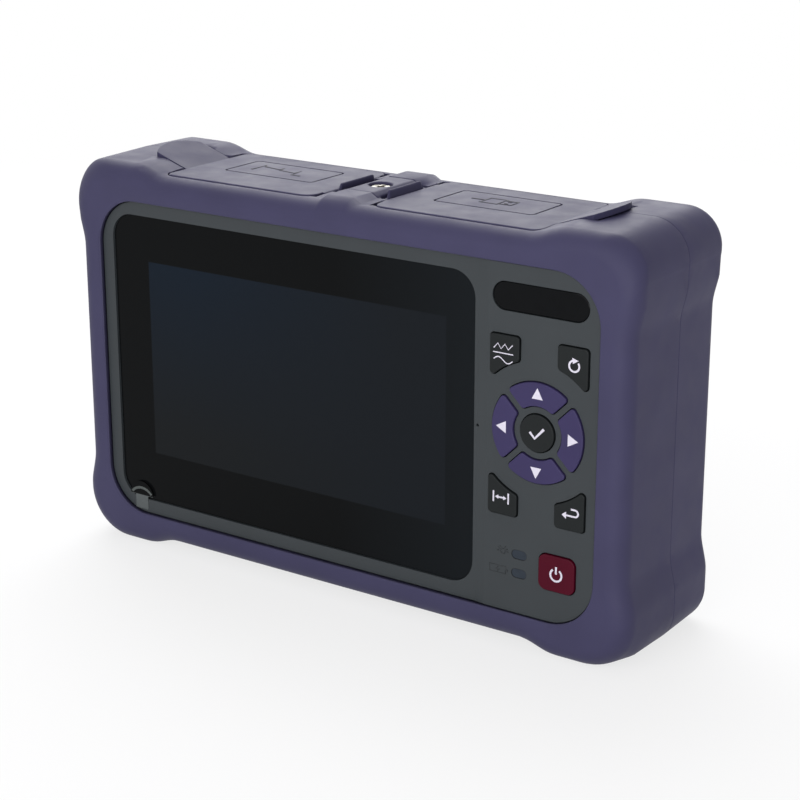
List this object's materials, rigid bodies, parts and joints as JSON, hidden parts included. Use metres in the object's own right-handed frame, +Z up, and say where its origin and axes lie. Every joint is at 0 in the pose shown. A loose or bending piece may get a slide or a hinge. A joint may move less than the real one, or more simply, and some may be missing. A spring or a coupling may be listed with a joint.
{
  "type": "optical time domain reflectometer",
  "caption": "Handheld fibre tester: flat dark screen and keypad in a violet rubber-armoured case, port flaps on top, fold-out stand behind.",
  "frame": {"origin": "on the surface the feet stand on, under the middle of the case's width and depth", "axes": "+X to the right seen from the screen, +Y from the screen to the back, +Z up"},
  "size_m": [0.1738, 0.045, 0.1098],
  "materials": {
    "panel_plastic": "fine-textured charcoal grey moulding",
    "skin_rubber": "satin soft-touch violet grey rubber",
    "seal_rubber": "black rubber or foam",
    "steel": "bright plated steel",
    "well_plastic": "black moulding",
    "brass": "brass insert",
    "port_metal": "nickel plated metal",
    "board": "green solder mask",
    "cover_glass": "glossy cover glass with a printed black border",
    "display": "dark display panel that is switched off",
    "clear_film": "clear film",
    "keypad_silicone": "grey silicone sheet",
    "led_window": "smoky lens over a lamp",
    "badge_gloss": "black domed resin",
    "battery_wrap": "blue shrink wrap",
    "dark_key": "charcoal key cap",
    "arrow_key": "violet key cap",
    "power_key": "dark red key cap"
  },
  "bodies": {
    "housing": {"front_shell": "panel_plastic", "front_bumper": "skin_rubber", "rear_shell": "panel_plastic", "rear_bumper": "skin_rubber", "housing_seal": "seal_rubber", "case_screws": "steel", "optical_port_well": "well_plastic", "usb_port_well": "well_plastic", "flap_retainer": "skin_rubber", "retainer_screw": "steel", "retainer_insert": "brass", "otdr_port": "port_metal", "fault_locator_port": "port_metal", "optical_port_screws": "steel", "usb_a_socket": "steel", "micro_usb_socket": "steel", "port_board": "board", "port_board_screws": "steel", "touch_glass": "cover_glass", "glass_tape": "seal_rubber", "lcd_foam_gasket": "seal_rubber", "lcd_module": "display", "lcd_bracket": "steel", "bracket_screws": "steel", "screen_film_tab": "clear_film", "keypad_mat": "keypad_silicone", "snap_domes": "steel", "keypad_board": "board", "keypad_board_screws": "steel", "light_pipes": "led_window", "badge_plate": "badge_gloss", "main_board": "board", "main_board_screws": "steel", "optical_engine": "port_metal", "processor_shield": "steel", "buzzer": "well_plastic", "battery_pack": "battery_wrap", "battery_door": "panel_plastic", "battery_door_screws": "steel"},
    "trace_mode_key": {"trace_mode_key": "dark_key"},
    "auto_test_key": {"auto_test_key": "dark_key"},
    "cursor_key": {"cursor_key": "dark_key"},
    "escape_key": {"escape_key": "dark_key"},
    "up_key": {"up_key": "arrow_key"},
    "left_key": {"left_key": "arrow_key"},
    "down_key": {"down_key": "arrow_key"},
    "right_key": {"right_key": "arrow_key"},
    "ok_key": {"ok_key": "dark_key"},
    "power_key": {"power_key": "power_key"},
    "usb_flap": {"usb_port_flap": "skin_rubber"},
    "optical_flap": {"optical_port_flap": "skin_rubber"},
    "kickstand": {"kickstand": "panel_plastic"}
  },
  "joints": [
    {"name": "trace_mode_press", "type": "slide", "parent": "housing", "child": "trace_mode_key", "axis": [0, 1, 0], "range_m": [0, 0.0008], "stiffness_N_per_m": 400, "springref_m": -0.001},
    {"name": "auto_test_press", "type": "slide", "parent": "housing", "child": "auto_test_key", "axis": [0, 1, 0], "range_m": [0, 0.0008], "stiffness_N_per_m": 400, "springref_m": -0.001},
    {"name": "cursor_press", "type": "slide", "parent": "housing", "child": "cursor_key", "axis": [0, 1, 0], "range_m": [0, 0.0008], "stiffness_N_per_m": 400, "springref_m": -0.001},
    {"name": "escape_press", "type": "slide", "parent": "housing", "child": "escape_key", "axis": [0, 1, 0], "range_m": [0, 0.0008], "stiffness_N_per_m": 400, "springref_m": -0.001},
    {"name": "up_press", "type": "slide", "parent": "housing", "child": "up_key", "axis": [0, 1, 0], "range_m": [0, 0.0008], "stiffness_N_per_m": 400, "springref_m": -0.001},
    {"name": "left_press", "type": "slide", "parent": "housing", "child": "left_key", "axis": [0, 1, 0], "range_m": [0, 0.0008], "stiffness_N_per_m": 400, "springref_m": -0.001},
    {"name": "down_press", "type": "slide", "parent": "housing", "child": "down_key", "axis": [0, 1, 0], "range_m": [0, 0.0008], "stiffness_N_per_m": 400, "springref_m": -0.001},
    {"name": "right_press", "type": "slide", "parent": "housing", "child": "right_key", "axis": [0, 1, 0], "range_m": [0, 0.0008], "stiffness_N_per_m": 400, "springref_m": -0.001},
    {"name": "ok_press", "type": "slide", "parent": "housing", "child": "ok_key", "axis": [0, 1, 0], "range_m": [0, 0.0008], "stiffness_N_per_m": 400, "springref_m": -0.001},
    {"name": "power_press", "type": "slide", "parent": "housing", "child": "power_key", "axis": [0, 1, 0], "range_m": [0, 0.0008], "stiffness_N_per_m": 400, "springref_m": -0.001},
    {"name": "usb_flap_hinge", "type": "hinge", "parent": "housing", "child": "usb_flap", "pos_m": [0.0093, 0, 0.1044], "axis": [0, -1, 0], "range_deg": [0, 90]},
    {"name": "optical_flap_hinge", "type": "hinge", "parent": "housing", "child": "optical_flap", "pos_m": [-0.0093, 0, 0.1044], "axis": [0, 1, 0], "range_deg": [0, 90]},
    {"name": "kickstand_hinge", "type": "hinge", "parent": "housing", "child": "kickstand", "pos_m": [0, 0.0201, 0.08], "axis": [1, 0, 0], "range_deg": [0, 65]}
  ]
}
